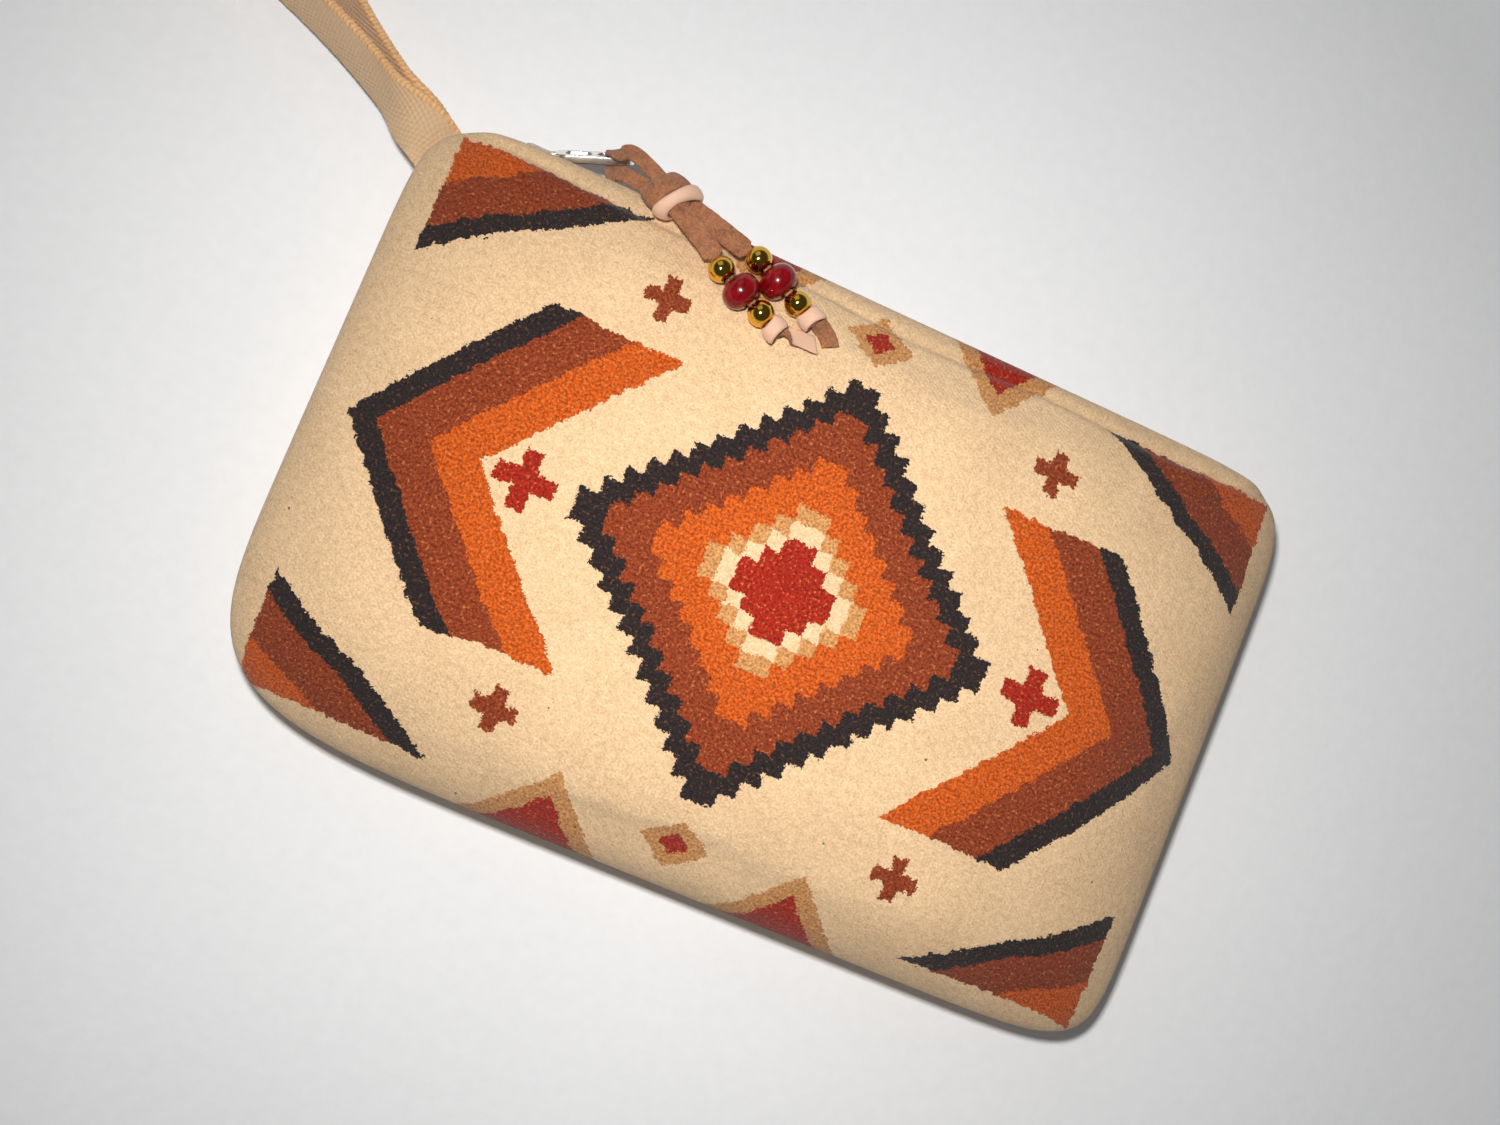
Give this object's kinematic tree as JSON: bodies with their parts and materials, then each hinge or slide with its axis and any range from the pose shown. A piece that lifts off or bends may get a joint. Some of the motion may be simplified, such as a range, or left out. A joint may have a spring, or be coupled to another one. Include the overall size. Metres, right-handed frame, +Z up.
{
  "type": "zip wristlet",
  "caption": "Padded rectangular wool zip pouch with a folded webbing wrist loop in its corner seam and a beaded suede lace on the nickel zip pull",
  "frame": {"origin": "the middle of the flat patch of the back panel that the pouch rests on", "axes": "+X runs along the zip from the wrist strap's end, +Y points out of the zip edge, +Z points up out of the patterned front"},
  "size_m": [0.3554, 0.2228, 0.0435],
  "materials": {
    "wool_front": "napped wool cloth, cream ground with orange, rust, red and brown geometric pattern",
    "wool_back": "plain napped cream wool cloth",
    "cotton_lining": "thin plain brown cotton",
    "tape_black": "fine herringbone woven zip tape, matt black",
    "nylon_black": "black nylon coil",
    "nickel": "polished nickel plate",
    "suede": "brown suede lace with a smoother pink-tan grain side",
    "gold": "mirror-polished gold colour",
    "deep_red": "glossy deep red",
    "webbing": "tan cotton webbing with corded edges"
  },
  "bodies": {
    "pouch": {"front_panel": "wool_front", "back_panel": "wool_back", "lining": "cotton_lining", "zip_tape_front": "tape_black", "zip_tape_back": "tape_black", "zip_coil_front": "nylon_black", "zip_coil_back": "nylon_black", "zip_stop_front": "nickel", "zip_stop_back": "nickel", "zip_bottom_stop": "nickel", "wrist_strap": "webbing"},
    "slider": {"zip_slider": "nickel"},
    "pull": {"pull_tab": "nickel", "lace": "suede", "gold_bead_1": "gold", "gold_bead_2": "gold", "gold_bead_3": "gold", "gold_bead_4": "gold", "red_bead_1": "deep_red", "red_bead_2": "deep_red"}
  },
  "joints": [
    {"name": "zip_slide", "type": "slide", "parent": "pouch", "child": "slider", "axis": [1, 0, 0], "range_m": [0, 0.172], "deforming": ["zip_coil_front", "zip_coil_back"]},
    {"name": "pull_swing", "type": "hinge", "parent": "slider", "child": "pull", "pos_m": [-0.08915, 0.07188, 0.016], "axis": [0, 0, 1], "range_deg": [0, 140]}
  ]
}
